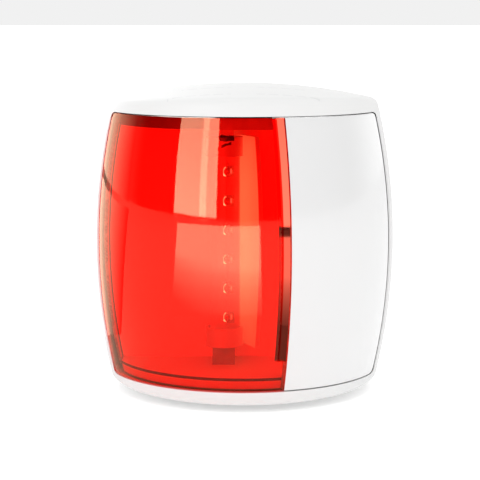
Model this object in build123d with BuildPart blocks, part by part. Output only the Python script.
"""Port side navigation light for a small boat: a mounting base, a sealed lamp that plugs on it and a snap-on cover.

The origin is the centre of the base's back face, which lies on the wall. +Z is up and the light faces -Y.
The bow is towards -X. All lengths are in millimetres.
"""

import os
from math import atan2, cos, degrees, radians, sin, sqrt

from build123d import *

os.makedirs("parts", exist_ok=True)

# ---------------------------------------------------------------- driving dimensions
HALF_WIDTH = 37.2  # of the body at mid height
FRONT_REACH = 31.6  # from the widest plane to the front, at mid height
CORNER_R = 14.2  # plan radius where the front turns into the straight sides
SAG_R = 144.0  # radius of the upright bulge of the sides and the front
WIDEST_Y = -17.0  # the plane where the front begins; behind it the sides run straight to the wall
TOP_CREST_Z = 39.2  # highest point of the domed top
BOTTOM_CREST_Z = -37.8  # lowest point of the domed bottom
TOP_DOME_R = 143.0
BOTTOM_DOME_R = 188.0  # the bottom is flatter than the top
RIM_R = 2.4  # rounding between the dome and the sides

COVER_WALL = 2.0
COVER_BACK_Y = -0.4  # the cover stops just short of the wall
WINDOW_HALF_WIDTH = 35.8  # of the cover's opening at mid height
WINDOW_HALF_HEIGHT = 32.55
WINDOW_CORNER_R = 1.3
LIP_Y = WIDEST_Y - 5.2  # front edge of the cover's side strips
CATCH_HALF_WIDTH = 8.0
CATCH_Y = (-15.6, -14.0)
CATCH_Z = (34.8, 37.0)
DRAIN_HALF_WIDTH = 4.0
DRAIN_DEPTH = 2.6

SHELL_INSET = 0.2  # the lens and the panel lie this far inside the body's outline
SHELL_WALL = 2.0
SHELL_HALF_WIDTH = 35.5
SHELL_HALF_HEIGHT = 32.25
SHELL_CORNER_R = 1.1
SHELL_BACK_Y = -15.2
BOND_GAP = 0.1  # bonded pieces stand this far apart where their faces are curved

SPLIT_X = 11.2  # where lens and panel meet on the outside, at mid height
SPLIT_ANGLE = 26.0  # of that joint from the lamp's normal, turned towards the lamps
RETURN_DEPTH = 5.0  # of the panel's inward rib along the joint, its own wall included
RETURN_WALL = 1.6
RETURN_Z = (-24.9, 29.3)
BEVEL_RUN = 2.7  # of the lens's bevelled edge beside that joint, along the bevel
BEVEL_TURN = 13.0  # of the bevel's normal from straight ahead, turned towards the bow
BEVEL_LOW_Z = -24.9
BEVEL_LAND = 0.3  # left of the full wall between the bevel and the joint
BEVEL_STEP = 0.2  # depth at which the bevel starts, beside that land

END_PLATE_Z = (29.4, 32.1)  # height range of the upper end plate; the lower one mirrors it

HOUSING_BACK_Y = -6.6
HOUSING_FRONT_Y = -14.4
HOUSING_HALF_WIDTH = 35.2
HOUSING_HALF_HEIGHT = 32.0
HOUSING_WALL = 1.8
HOUSING_FLOOR_Y = HOUSING_BACK_Y - 2.0
BEAD_MARGIN = 0.2  # the sealing bead stays this far inside the faces it joins

BASE_HALF_WIDTH = 35.2
BASE_HALF_HEIGHT = 32.0
BASE_FRONT_Y = -3.0
SEAT_Y = -6.5  # the base's ribs and bosses end here, a tenth short of the lamp
CABLE_OPENING_R = 11.0
OPENING_RIM = 2.0
SCREW_SPACING = 42.0
SCREW_HOLE_R = 2.2
SCREW_HEAD_R = 4.6
SCREW_BOSS_R = 7.0
SCREW_BOSS_Y = -4.8
PEG_Z = 22.0  # height of the lamp's two plug-in pegs above and below the centre
PEG_R = 2.5
PEG_END_Y = -1.0
SOCKET_R = 2.7
SOCKET_BOSS_R = 5.0
SEAT_RIB_X = (27.0, 29.0)
SEAT_RIB_HALF_HEIGHT = 20.0
ARM_HALF_WIDTH = 7.0
ARM_Z = (32.9, 34.3)
ARM_END_Y = -20.0
HOOK_TOP_Z = 34.6
HOOK_BACK_Y = -18.0
GASKET_OUTER = (33.0, 30.0)  # half width and half height of the wall gasket's groove
GASKET_INNER = (31.0, 28.0)
GASKET_DEPTH = 1.2
GASKET_PLAY = 0.05

SCREEN_Y = (-17.6, -16.4)  # the white screen behind the lamps
SCREEN_RIGHT_X = 14.0
SCREEN_HALF_WIDTH = 33.3
SCREEN_HALF_HEIGHT = 29.3
WING_FOOT_X = 12.4  # left face of the screen's wing, which closes the lamp chamber on the right
WING_TIP = (8.6, -42.6)
WING_WALL = 1.2
FIN_FOOT_X = -0.9  # left face of the cut-off fin where it stands on the screen
FIN_TIP = (4.18, -29.1)  # before its edge is trimmed to the front's bulge
FIN_REACH_R = 17.9
FIN_WALL = 1.2
FIN_Z = (-25.6, 26.5)

COLUMN_X = -3.7  # the upright row of lamps
BOARD_FRONT_Y = -24.4
BOARD_BACK_Y = -23.4
BOARD_WIDTH = 5.3
COLUMN_Z = (-24.0, 25.5)
SPINE_WIDTH = 4.4
SPINE_LOW_Z = -21.4  # the spine ends above the leads' solder joints
LED_COUNT = 6
LED_PITCH = 7.2
LED_SIZE = 2.8
LED_HEIGHT = 0.8
LED_DOME_R = 1.2
OPTIC_X = -4.8  # the optic bulges to the lamps' port side
OPTIC_R = 3.85
OPTIC_INNER_R = 2.8
CLIP_R = 4.6
CLIP_INNER_R = 3.95
CLIP_BAND = 3.8
CLIP_CAP_WALL = 0.9
CLIP_CAP_GAP = 0.2  # between the optic's end and the clip's cap
CLIP_BACK_Y = -22.6
CLIP_FOOT_Y = (-27.5, -17.7)
CLIP_FOOT_X = {"top": (-5.7, -2.4), "bottom": (-7.7, -2.2)}
SPINE_SCREW_Z = 15.0
SPINE_SCREW_R = 1.2
SPINE_SCREW_HEAD_R = 2.2
SPINE_SCREW_HEAD_Y = -14.9
SPINE_SCREW_TIP_Y = -21.0

DRIVER_X = (14.6, 30.6)
DRIVER_Y = (-20.8, -19.2)
DRIVER_HALF_HEIGHT = 23.0
POST_XS = (17.4, 27.8)
POST_Z = 19.5
POST_R = 2.4
POST_HOLE_R = 1.1
BOARD_SCREW_R = 1.0
BOARD_HOLE_R = 1.3
BOARD_SCREW_HEAD_R = 2.2
BOARD_SCREW_HEAD_Y = -22.4
BOARD_SCREW_TIP_Y = -14.5
INDUCTOR_AT = (22.6, 9.5)
INDUCTOR_R = 5.0
INDUCTOR_CORE_R = 3.2
INDUCTOR_HEIGHT = 6.0
CAPACITOR_XS = (19.0, 26.4)
CAPACITOR_Z = -1.6
CAPACITOR_R = 3.1
CAPACITOR_HEIGHT = 8.5
CHIPS = ((22.6, 17.2), (22.6, 21.0), (22.6, -19.5))  # centres in X and Z
CHIP_SIZE = (3.6, 1.2, 2.6)
TERMINAL_X = (17.6, 27.6)
TERMINAL_Z = (-15.6, -8.0)
TERMINAL_HEIGHT = 8.0
TERMINAL_SCREW_XS = (20.1, 25.1)
TERMINAL_SCREW_R = 1.7
TERMINAL_SCREW_DEPTH = 1.2

LEAD_R = 0.6
LEAD_OFFSET = 1.2  # of each lead from the column's middle
LEAD_Z = -22.6
LEAD_RUN_Y = -12.4
LEAD_END = (21.0, -12.0)  # X and Z where the leads meet the driver board
LEAD_HOLE_R = 0.8

CABLE_R = 3.0
GLAND_FLANGE_R = 8.0
GLAND_FLANGE_WALL = 2.0
GLAND_R = 6.0
GLAND_BORE_R = 4.5
GLAND_END_Y = -2.4
GLAND_HOLE_R = 6.1
SLEEVE_R = 4.4
SLEEVE_BACK_Y = -9.8
NUT_FLATS = 15.0
NUT_Y = (-6.5, -0.9)
NUT_STEP_Y = -2.3
NUT_HOLE_R = 3.6
VENT_AT = (-22.0, -20.0)
VENT_R = 4.0
VENT_STEM_R = 2.4
VENT_HOLE_R = 2.5
VENT_CAP_WALL = 1.2
VENT_STEM_END_Y = -9.8

FAR = 60.0  # beyond the body on every side
PAST = 5.0  # how far a cutting shape runs past what it cuts

FRONT_R = FRONT_REACH + (
    ((HALF_WIDTH - CORNER_R) ** 2 - (FRONT_REACH - CORNER_R) ** 2)
    / (2 * (FRONT_REACH - CORNER_R))
)
CORNER_X = HALF_WIDTH - CORNER_R
FRONT_AXIS_Y = WIDEST_Y + FRONT_R - FRONT_REACH


def sag(z):
    """How far the sides and the front have drawn in at this height."""
    return SAG_R - sqrt(SAG_R**2 - z**2)


def outline(half_width, half_height, corner_r=0):
    """The front outline as a flat sketch: level above and below, with bulging sides and round corners."""
    end_x = half_width - sag(half_height)
    with BuildSketch(mode=Mode.PRIVATE) as flat:
        with BuildLine():
            ThreePointArc((end_x, -half_height), (half_width, 0), (end_x, half_height))
            Line((end_x, half_height), (-end_x, half_height))
            ThreePointArc((-end_x, half_height), (-half_width, 0), (-end_x, -half_height))
            Line((-end_x, -half_height), (end_x, -half_height))
        make_face()
        if corner_r:
            fillet(flat.vertices(), radius=corner_r)
    return flat.sketch


def prism(half_width, half_height, front_y, back_y, corner_r=0):
    """The front outline carried straight from front_y to back_y."""
    with BuildPart(mode=Mode.PRIVATE) as body:
        with BuildSketch(Plane.XZ.offset(-back_y)):
            add(outline(half_width, half_height, corner_r))
        extrude(amount=back_y - front_y)
    return body.part


def turned(x, y, radius, start, arc, half_height):
    """A sector of a bulging upright drum about (x, y), which starts in the direction start, in degrees."""
    start_dir = (cos(radians(start)), sin(radians(start)), 0)
    plane = Plane(
        origin=(x, y, 0), x_dir=start_dir, z_dir=(start_dir[1], -start_dir[0], 0)
    )
    rim = radius - sag(half_height)
    with BuildPart(mode=Mode.PRIVATE) as body:
        with BuildSketch(plane):
            with BuildLine():
                Line((0, -half_height), (rim, -half_height))
                ThreePointArc((rim, -half_height), (radius, 0), (rim, half_height))
                Line((rim, half_height), (0, half_height))
                Line((0, half_height), (0, -half_height))
            make_face()
        revolve(axis=Axis((x, y, 0), (0, 0, 1)), revolution_arc=arc)
    return body.part


def barrel(inset, half_height, back_y):
    """The body's outline, inset on all sides, as a solid: a round front, round corners and straight sides."""
    corner_turn = degrees(atan2(FRONT_AXIS_Y - WIDEST_Y, CORNER_X))
    front = turned(
        0, FRONT_AXIS_Y, FRONT_R - inset, 180 + corner_turn, 180 - 2 * corner_turn, half_height
    )
    right = turned(CORNER_X, WIDEST_Y, CORNER_R - inset, -corner_turn, corner_turn, half_height)
    left = turned(-CORNER_X, WIDEST_Y, CORNER_R - inset, 180, corner_turn, half_height)
    rear = prism(HALF_WIDTH - inset, half_height, WIDEST_Y, back_y)
    with BuildPart(mode=Mode.PRIVATE) as body:
        add(rear)
        add(front)
        add(right)
        add(left)
    return body.part


def domed(inset, back_y):
    """The barrel closed by the domed top and bottom, all inset alike."""
    body_blank = barrel(inset, TOP_CREST_Z + 1, back_y)
    balls = (
        (TOP_CREST_Z - TOP_DOME_R, TOP_DOME_R),
        (BOTTOM_CREST_Z + BOTTOM_DOME_R, BOTTOM_DOME_R),
    )
    with BuildPart(mode=Mode.PRIVATE) as body:
        add(body_blank)
        for centre_z, radius in balls:
            with Locations((0, WIDEST_Y, centre_z)):
                Sphere(radius - inset, rotation=(90, 0, 0), mode=Mode.INTERSECT)
    return body.part


def finish(builder, name):
    """Labels the sub-part and writes its file."""
    builder.part.label = name
    export_step(builder.part, f"parts/{name}.step")


def disc(x, z, y_from, y_to, radius, mode=Mode.ADD):
    """A round plug along Y in the open part."""
    with Locations((x, (y_from + y_to) / 2, z)):
        Cylinder(radius, y_to - y_from, rotation=(90, 0, 0), mode=mode)


def block(x, y, z, mode=Mode.ADD):
    """A box in the open part, given by its (low, high) on each axis."""
    centre = [(low + high) / 2 for low, high in (x, y, z)]
    with Locations(tuple(centre)):
        Box(x[1] - x[0], y[1] - y[0], z[1] - z[0], mode=mode)


def ring(outer, inner, front_y, back_y):
    """A frame along the front outline, given by two (half width, half height) pairs."""
    with BuildPart(mode=Mode.PRIVATE) as body:
        with BuildSketch(Plane.XZ.offset(-back_y)):
            add(outline(*outer))
            add(outline(*inner), mode=Mode.SUBTRACT)
        extrude(amount=back_y - front_y)
    return body.part


split_front_y = FRONT_AXIS_Y - sqrt((FRONT_R - SHELL_INSET) ** 2 - SPLIT_X**2)
split_normal = Vector(cos(radians(SPLIT_ANGLE)), sin(radians(SPLIT_ANGLE)), 0)
split_inward = Vector(-sin(radians(SPLIT_ANGLE)), cos(radians(SPLIT_ANGLE)), 0)
split_plane = Plane(origin=(SPLIT_X, split_front_y, 0), z_dir=split_normal)

# ---------------------------------------------------------------- shared blanks
cover_blank = domed(0, COVER_BACK_Y)
cover_hollow = domed(COVER_WALL, PAST)
window = prism(WINDOW_HALF_WIDTH, WINDOW_HALF_HEIGHT, -FAR, PAST, WINDOW_CORNER_R)

shell_inside = barrel(SHELL_INSET + SHELL_WALL, FAR / 2 + PAST, PAST)
shell_inside_prism = prism(SHELL_HALF_WIDTH - SHELL_WALL, FAR / 2 + PAST, -FAR, PAST)
with BuildPart(mode=Mode.PRIVATE) as shell_blank:
    add(barrel(SHELL_INSET, SHELL_HALF_HEIGHT + 1, SHELL_BACK_Y))
    add(
        prism(SHELL_HALF_WIDTH, SHELL_HALF_HEIGHT, -FAR, SHELL_BACK_Y, SHELL_CORNER_R),
        mode=Mode.INTERSECT,
    )
    add(shell_inside & shell_inside_prism, mode=Mode.SUBTRACT)

plate_outline = barrel(SHELL_INSET + SHELL_WALL + BOND_GAP, FAR / 2 + PAST, SHELL_BACK_Y)
plate_prism = prism(SHELL_HALF_WIDTH - SHELL_WALL - BOND_GAP, FAR / 2 + PAST, -FAR, SHELL_BACK_Y)

# ---------------------------------------------------------------- outer cover
with BuildPart() as outer_cover:
    add(cover_blank)
    crest_edges = [
        e
        for e in outer_cover.edges()
        if abs(e.center().Z) > WINDOW_HALF_HEIGHT and e.center().Y < COVER_BACK_Y - 1
    ]
    fillet(crest_edges, radius=RIM_R)
    add(cover_hollow, mode=Mode.SUBTRACT)
    add(window, mode=Mode.SUBTRACT)
    block(
        (-FAR, FAR),
        (-FAR, LIP_Y),
        (-WINDOW_HALF_HEIGHT + WINDOW_CORNER_R, WINDOW_HALF_HEIGHT - WINDOW_CORNER_R),
        mode=Mode.SUBTRACT,
    )
    for side in (1, -1):
        low, high = sorted(side * z for z in CATCH_Z)
        block((-CATCH_HALF_WIDTH, CATCH_HALF_WIDTH), CATCH_Y, (low, high))
    block(
        (-DRAIN_HALF_WIDTH, DRAIN_HALF_WIDTH),
        (COVER_BACK_Y - DRAIN_DEPTH, PAST),
        (-FAR, -WINDOW_HALF_HEIGHT - PAST / 5),
        mode=Mode.SUBTRACT,
    )
finish(outer_cover, "outer_cover")

# ---------------------------------------------------------------- lens and panel
seam_slope = 1 / (  # the joint draws in a little faster than the front does, because it is cut aslant
    sin(radians(SPLIT_ANGLE)) * SPLIT_X / (FRONT_R - SHELL_INSET)
    + cos(radians(SPLIT_ANGLE)) * sqrt(1 - (SPLIT_X / (FRONT_R - SHELL_INSET)) ** 2)
)
bevel_high_z = SHELL_HALF_HEIGHT + 1
bevel_zs = (BEVEL_LOW_Z, (BEVEL_LOW_Z + bevel_high_z) / 2, bevel_high_z)
seam_origin = Vector(SPLIT_X, split_front_y, 0) - split_normal * BEVEL_LAND
seam_plane = Plane(origin=seam_origin, x_dir=split_inward, z_dir=split_normal)
with BuildPart(mode=Mode.PRIVATE) as bevel_cutter:
    with BuildSketch(seam_plane):
        with BuildLine():
            seam = [(seam_slope * sag(z) + BEVEL_STEP, z) for z in bevel_zs]
            ThreePointArc(*seam)
            Polyline(seam[2], (-PAST, bevel_high_z), (-PAST, BEVEL_LOW_Z), seam[0])
        make_face()
    extrude(amount=BEVEL_RUN, dir=(-cos(radians(BEVEL_TURN)), sin(radians(BEVEL_TURN)), 0))

with BuildPart() as port_lens:
    add(shell_blank.part)
    split(bisect_by=split_plane, keep=Keep.BOTTOM)
    add(bevel_cutter.part, mode=Mode.SUBTRACT)
finish(port_lens, "port_lens")

with BuildPart(mode=Mode.PRIVATE) as return_rib:
    with BuildSketch(Plane.XY.offset(RETURN_Z[0])):
        with BuildLine():
            near = Vector(SPLIT_X, split_front_y)
            far = near + split_inward * (2 * RETURN_DEPTH)
            across = split_normal * RETURN_WALL
            Polyline(near, far, far + across, near + across, close=True)
        make_face()
    extrude(amount=RETURN_Z[1] - RETURN_Z[0])
    add(barrel(SHELL_INSET + SHELL_WALL / 2, FAR / 2, PAST), mode=Mode.INTERSECT)
    add(barrel(SHELL_INSET + RETURN_DEPTH, FAR / 2 + PAST, 2 * PAST), mode=Mode.SUBTRACT)

with BuildPart() as side_panel:
    add(shell_blank.part)
    split(bisect_by=split_plane, keep=Keep.TOP)
    add(return_rib.part)
finish(side_panel, "side_panel")

# ---------------------------------------------------------------- end plates
for name, side in (("top_end_plate", 1), ("bottom_end_plate", -1)):
    low, high = sorted(side * z for z in END_PLATE_Z)
    with BuildPart() as end_plate:
        add(plate_outline)
        add(plate_prism, mode=Mode.INTERSECT)
        block((-FAR, FAR), (-FAR, PAST), (low, high), mode=Mode.INTERSECT)
    finish(end_plate, name)

# ---------------------------------------------------------------- rear housing and its sealing bead
with BuildPart() as rear_housing:
    add(prism(HOUSING_HALF_WIDTH, HOUSING_HALF_HEIGHT, HOUSING_FRONT_Y, HOUSING_BACK_Y))
    add(
        prism(
            HOUSING_HALF_WIDTH - HOUSING_WALL,
            HOUSING_HALF_HEIGHT - HOUSING_WALL,
            -FAR,
            HOUSING_FLOOR_Y,
        ),
        mode=Mode.SUBTRACT,
    )
    for x in POST_XS:
        for z in (-POST_Z, POST_Z):
            disc(x, z, DRIVER_Y[1], HOUSING_FLOOR_Y, POST_R)
            disc(x, z, DRIVER_Y[1], HOUSING_FLOOR_Y - 1, POST_HOLE_R, mode=Mode.SUBTRACT)
    for z in (-PEG_Z, PEG_Z):
        disc(0, z, HOUSING_BACK_Y, PEG_END_Y, PEG_R)
    disc(0, 0, HOUSING_FLOOR_Y, HOUSING_BACK_Y, GLAND_HOLE_R, mode=Mode.SUBTRACT)
    disc(*VENT_AT, HOUSING_FLOOR_Y, HOUSING_BACK_Y, VENT_HOLE_R, mode=Mode.SUBTRACT)
finish(rear_housing, "rear_housing")

with BuildPart() as sealing_bead:
    add(
        ring(
            (HOUSING_HALF_WIDTH - BEAD_MARGIN, HOUSING_HALF_HEIGHT - BEAD_MARGIN),
            (
                HOUSING_HALF_WIDTH - HOUSING_WALL + BEAD_MARGIN,
                HOUSING_HALF_HEIGHT - HOUSING_WALL + BEAD_MARGIN,
            ),
            SHELL_BACK_Y,
            HOUSING_FRONT_Y,
        )
    )
finish(sealing_bead, "sealing_bead")

# ---------------------------------------------------------------- screen and cut-off fin
with BuildPart(mode=Mode.PRIVATE) as wing:
    with BuildSketch(Plane.XY.offset(-SCREEN_HALF_HEIGHT)):
        with BuildLine():
            Polyline(
                (WING_FOOT_X, SCREEN_Y[1]),
                WING_TIP,
                (WING_TIP[0] + WING_WALL, WING_TIP[1]),
                (WING_FOOT_X + WING_WALL, SCREEN_Y[1]),
                close=True,
            )
        make_face()
    extrude(amount=2 * SCREEN_HALF_HEIGHT)
    add(barrel(SHELL_INSET + RETURN_DEPTH + BOND_GAP, FAR / 2, PAST), mode=Mode.INTERSECT)

with BuildPart() as back_screen:
    add(prism(SCREEN_HALF_WIDTH, SCREEN_HALF_HEIGHT, *SCREEN_Y))
    block((SCREEN_RIGHT_X, FAR), (-FAR, PAST), (-FAR, FAR), mode=Mode.SUBTRACT)
    for z in (-SPINE_SCREW_Z, SPINE_SCREW_Z):
        disc(COLUMN_X, z, *SCREEN_Y, SPINE_SCREW_R + BOND_GAP, mode=Mode.SUBTRACT)
    for x in (COLUMN_X - LEAD_OFFSET, COLUMN_X + LEAD_OFFSET):
        disc(x, LEAD_Z, *SCREEN_Y, LEAD_HOLE_R, mode=Mode.SUBTRACT)
    add(wing.part)
finish(back_screen, "back_screen")

with BuildPart() as cutoff_fin:
    with BuildSketch(Plane.XY.offset(FIN_Z[0])):
        with BuildLine():
            foot = (FIN_FOOT_X, SCREEN_Y[0])
            Polyline(
                foot,
                FIN_TIP,
                (FIN_TIP[0] + FIN_WALL, FIN_TIP[1]),
                (foot[0] + FIN_WALL, foot[1]),
                close=True,
            )
        make_face()
    extrude(amount=FIN_Z[1] - FIN_Z[0])
    add(turned(0, FRONT_AXIS_Y, FIN_REACH_R, 180, 180, FAR / 2), mode=Mode.INTERSECT)
finish(cutoff_fin, "cutoff_fin")

# ---------------------------------------------------------------- lamp column
with BuildPart() as heat_spine:
    block(
        (COLUMN_X - SPINE_WIDTH / 2, COLUMN_X + SPINE_WIDTH / 2),
        (BOARD_BACK_Y, SCREEN_Y[0]),
        (SPINE_LOW_Z, COLUMN_Z[1]),
    )
    for z in (-SPINE_SCREW_Z, SPINE_SCREW_Z):
        disc(
            COLUMN_X, z, SPINE_SCREW_TIP_Y - 1, SCREEN_Y[0], SPINE_SCREW_R + BOND_GAP, mode=Mode.SUBTRACT
        )
finish(heat_spine, "heat_spine")

with BuildPart() as spine_screws:
    for z in (-SPINE_SCREW_Z, SPINE_SCREW_Z):
        disc(COLUMN_X, z, SPINE_SCREW_TIP_Y, SCREEN_Y[1], SPINE_SCREW_R)
        disc(COLUMN_X, z, SCREEN_Y[1], SPINE_SCREW_HEAD_Y, SPINE_SCREW_HEAD_R)
finish(spine_screws, "spine_screws")

with BuildPart() as led_board:
    block(
        (COLUMN_X - BOARD_WIDTH / 2, COLUMN_X + BOARD_WIDTH / 2),
        (BOARD_FRONT_Y, BOARD_BACK_Y),
        COLUMN_Z,
    )
finish(led_board, "led_board")

led_zs = [LED_PITCH * (i - (LED_COUNT - 1) / 2) for i in range(LED_COUNT)]
led_front_y = BOARD_FRONT_Y - LED_HEIGHT
with BuildPart() as led_emitters:
    for z in led_zs:
        half = LED_SIZE / 2
        block((COLUMN_X - half, COLUMN_X + half), (led_front_y, BOARD_FRONT_Y), (z - half, z + half))
finish(led_emitters, "led_emitters")

with BuildPart() as led_domes:
    for z in led_zs:
        with Locations((COLUMN_X, led_front_y, z)):
            Sphere(LED_DOME_R)
    block((-FAR, FAR), (led_front_y, FAR), (-FAR, FAR), mode=Mode.SUBTRACT)
finish(led_domes, "led_domes")

with BuildPart() as optic_rod:
    with Locations((OPTIC_X, BOARD_FRONT_Y, sum(COLUMN_Z) / 2)):
        Cylinder(OPTIC_R, COLUMN_Z[1] - COLUMN_Z[0])
        Cylinder(OPTIC_INNER_R, COLUMN_Z[1] - COLUMN_Z[0], mode=Mode.SUBTRACT)
    block((-FAR, FAR), (BOARD_FRONT_Y, FAR), (-FAR, FAR), mode=Mode.SUBTRACT)
finish(optic_rod, "optic_rod")

for place, side in (("top", 1), ("bottom", -1)):
    end_z = COLUMN_Z[1] if side > 0 else COLUMN_Z[0]
    cap_inner_z = end_z + side * CLIP_CAP_GAP
    cap_outer_z = cap_inner_z + side * CLIP_CAP_WALL
    with BuildPart() as optic_clip:
        with Locations((OPTIC_X, BOARD_FRONT_Y, cap_inner_z - side * CLIP_BAND / 2)):
            Cylinder(CLIP_R, CLIP_BAND)
            Cylinder(CLIP_INNER_R, CLIP_BAND, mode=Mode.SUBTRACT)
        with Locations((OPTIC_X, BOARD_FRONT_Y, (cap_inner_z + cap_outer_z) / 2)):
            Cylinder(CLIP_R, CLIP_CAP_WALL)
        block((-FAR, FAR), (CLIP_BACK_Y, FAR), (-FAR, FAR), mode=Mode.SUBTRACT)
        foot_z = sorted((cap_outer_z, side * END_PLATE_Z[0]))
        block(CLIP_FOOT_X[place], CLIP_FOOT_Y, foot_z)
    finish(optic_clip, f"optic_clip_{place}")

# ---------------------------------------------------------------- driver board and what is on it
with BuildPart() as driver_board:
    block(DRIVER_X, DRIVER_Y, (-DRIVER_HALF_HEIGHT, DRIVER_HALF_HEIGHT))
    for x in POST_XS:
        for z in (-POST_Z, POST_Z):
            disc(x, z, *DRIVER_Y, BOARD_HOLE_R, mode=Mode.SUBTRACT)
finish(driver_board, "driver_board")

with BuildPart() as board_screws:
    for x in POST_XS:
        for z in (-POST_Z, POST_Z):
            disc(x, z, DRIVER_Y[0], BOARD_SCREW_TIP_Y, BOARD_SCREW_R)
            disc(x, z, BOARD_SCREW_HEAD_Y, DRIVER_Y[0], BOARD_SCREW_HEAD_R)
finish(board_screws, "board_screws")

with BuildPart() as driver_inductor:
    disc(*INDUCTOR_AT, DRIVER_Y[0] - INDUCTOR_HEIGHT, DRIVER_Y[0], INDUCTOR_R)
    winding_front_y = DRIVER_Y[0] - INDUCTOR_HEIGHT + 1
    disc(*INDUCTOR_AT, winding_front_y, DRIVER_Y[0] - 1, INDUCTOR_R, mode=Mode.SUBTRACT)
    disc(*INDUCTOR_AT, winding_front_y, DRIVER_Y[0] - 1, INDUCTOR_CORE_R)
finish(driver_inductor, "driver_inductor")

with BuildPart() as inductor_winding:
    disc(*INDUCTOR_AT, winding_front_y, DRIVER_Y[0] - 1, INDUCTOR_R - BOND_GAP)
    disc(
        *INDUCTOR_AT, winding_front_y, DRIVER_Y[0] - 1, INDUCTOR_CORE_R + BOND_GAP, mode=Mode.SUBTRACT
    )
finish(inductor_winding, "inductor_winding")

with BuildPart() as driver_capacitors:
    for x in CAPACITOR_XS:
        disc(x, CAPACITOR_Z, DRIVER_Y[0] - CAPACITOR_HEIGHT, DRIVER_Y[0], CAPACITOR_R)
finish(driver_capacitors, "driver_capacitors")

with BuildPart() as driver_chips:
    for x, z in CHIPS:
        with Locations((x, DRIVER_Y[0] - CHIP_SIZE[1] / 2, z)):
            Box(*CHIP_SIZE)
finish(driver_chips, "driver_chips")

terminal_front_y = DRIVER_Y[0] - TERMINAL_HEIGHT
terminal_z = sum(TERMINAL_Z) / 2
with BuildPart() as terminal_block:
    block(TERMINAL_X, (terminal_front_y, DRIVER_Y[0]), TERMINAL_Z)
    for x in TERMINAL_SCREW_XS:
        disc(
            x,
            terminal_z,
            terminal_front_y,
            terminal_front_y + 2 * TERMINAL_SCREW_DEPTH,
            TERMINAL_SCREW_R + BOND_GAP,
            mode=Mode.SUBTRACT,
        )
finish(terminal_block, "terminal_block")

with BuildPart() as terminal_screws:
    for x in TERMINAL_SCREW_XS:
        seat_y = terminal_front_y + 2 * TERMINAL_SCREW_DEPTH
        disc(x, terminal_z, seat_y - TERMINAL_SCREW_DEPTH, seat_y, TERMINAL_SCREW_R)
finish(terminal_screws, "terminal_screws")

# ---------------------------------------------------------------- leads from the driver to the lamps
for name, offset in (("led_lead_positive", LEAD_OFFSET), ("led_lead_negative", -LEAD_OFFSET)):
    run_y = LEAD_RUN_Y - offset * 0.8
    route = [
        (COLUMN_X + offset, BOARD_BACK_Y, LEAD_Z),
        (COLUMN_X + offset, run_y, LEAD_Z),
        (LEAD_END[0] - offset, run_y, LEAD_END[1]),
        (LEAD_END[0] - offset, DRIVER_Y[1], LEAD_END[1]),
    ]
    runs = [(Vector(b) - Vector(a)).length for a, b in zip(route, route[1:])]
    bend = 0.42 * min(runs)
    with BuildPart() as lead:
        with BuildLine() as path:
            FilletPolyline(*route, radius=bend)
        with BuildSketch(Plane(origin=path.line @ 0, z_dir=path.line % 0)):
            Circle(LEAD_R)
        sweep()
    print(name, "bend radius", round(bend, 2), "length", round(path.wires()[0].length, 1))
    finish(lead, name)

# ---------------------------------------------------------------- cable gland and breather
with BuildPart() as gland_body:
    disc(0, 0, HOUSING_FLOOR_Y - GLAND_FLANGE_WALL, HOUSING_FLOOR_Y, GLAND_FLANGE_R)
    disc(0, 0, HOUSING_FLOOR_Y, GLAND_END_Y, GLAND_R)
    disc(0, 0, -FAR, PAST, GLAND_BORE_R, mode=Mode.SUBTRACT)
finish(gland_body, "gland_body")

with BuildPart() as gland_sleeve:
    disc(0, 0, SLEEVE_BACK_Y, GLAND_END_Y, SLEEVE_R)
    disc(0, 0, -FAR, PAST, CABLE_R, mode=Mode.SUBTRACT)
finish(gland_sleeve, "gland_sleeve")

with BuildPart() as gland_nut:
    with BuildSketch(Plane.XZ.offset(-NUT_Y[1])):
        RegularPolygon(NUT_FLATS / 2, 6, major_radius=False)
    extrude(amount=NUT_Y[1] - NUT_Y[0])
    disc(0, 0, NUT_Y[0] - 1, NUT_STEP_Y, GLAND_HOLE_R, mode=Mode.SUBTRACT)
    disc(0, 0, NUT_STEP_Y - 1, PAST, NUT_HOLE_R, mode=Mode.SUBTRACT)
finish(gland_nut, "gland_nut")

with BuildPart() as breather_plug:
    disc(*VENT_AT, HOUSING_BACK_Y, HOUSING_BACK_Y + VENT_CAP_WALL, VENT_R)
    disc(*VENT_AT, VENT_STEM_END_Y, HOUSING_BACK_Y, VENT_STEM_R)
finish(breather_plug, "breather_plug")

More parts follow.
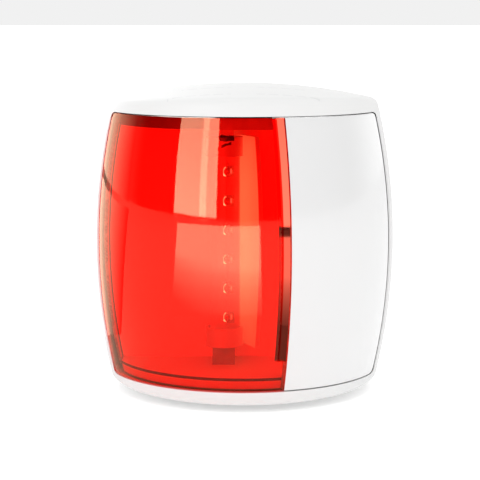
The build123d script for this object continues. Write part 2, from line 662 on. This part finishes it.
# ---------------------------------------------------------------- mounting base and wall gasket
with BuildPart() as mounting_base:
    add(prism(BASE_HALF_WIDTH, BASE_HALF_HEIGHT, BASE_FRONT_Y, 0))
    disc(0, 0, SEAT_Y, BASE_FRONT_Y, CABLE_OPENING_R + OPENING_RIM)
    disc(0, 0, -FAR, PAST, CABLE_OPENING_R, mode=Mode.SUBTRACT)
    for x in (-SCREW_SPACING / 2, SCREW_SPACING / 2):
        disc(x, 0, SCREW_BOSS_Y, BASE_FRONT_Y, SCREW_BOSS_R)
        disc(x, 0, -FAR, BASE_FRONT_Y, SCREW_HEAD_R, mode=Mode.SUBTRACT)
        disc(x, 0, -FAR, PAST, SCREW_HOLE_R, mode=Mode.SUBTRACT)
    for z in (-PEG_Z, PEG_Z):
        disc(0, z, SEAT_Y, BASE_FRONT_Y, SOCKET_BOSS_R)
        disc(0, z, -FAR, PAST, SOCKET_R, mode=Mode.SUBTRACT)
    for side in (1, -1):
        low_x, high_x = sorted(side * x for x in SEAT_RIB_X)
        block((low_x, high_x), (SEAT_Y, BASE_FRONT_Y), (-SEAT_RIB_HALF_HEIGHT, SEAT_RIB_HALF_HEIGHT))
        arm_low, arm_high = sorted(side * z for z in ARM_Z)
        root_low, root_high = sorted((side * (BASE_HALF_HEIGHT - 1), side * ARM_Z[1]))
        hook_low, hook_high = sorted((side * ARM_Z[1], side * HOOK_TOP_Z))
        arm_x = (-ARM_HALF_WIDTH, ARM_HALF_WIDTH)
        block(arm_x, (BASE_FRONT_Y, 0), (root_low, root_high))
        block(arm_x, (ARM_END_Y, 0), (arm_low, arm_high))
        block(arm_x, (ARM_END_Y, HOOK_BACK_Y), (hook_low, hook_high))
    add(ring(GASKET_OUTER, GASKET_INNER, -GASKET_DEPTH, PAST), mode=Mode.SUBTRACT)
finish(mounting_base, "mounting_base")

with BuildPart() as wall_gasket:
    add(
        ring(
            tuple(size - GASKET_PLAY for size in GASKET_OUTER),
            tuple(size + GASKET_PLAY for size in GASKET_INNER),
            -GASKET_DEPTH,
            0,
        )
    )
finish(wall_gasket, "wall_gasket")
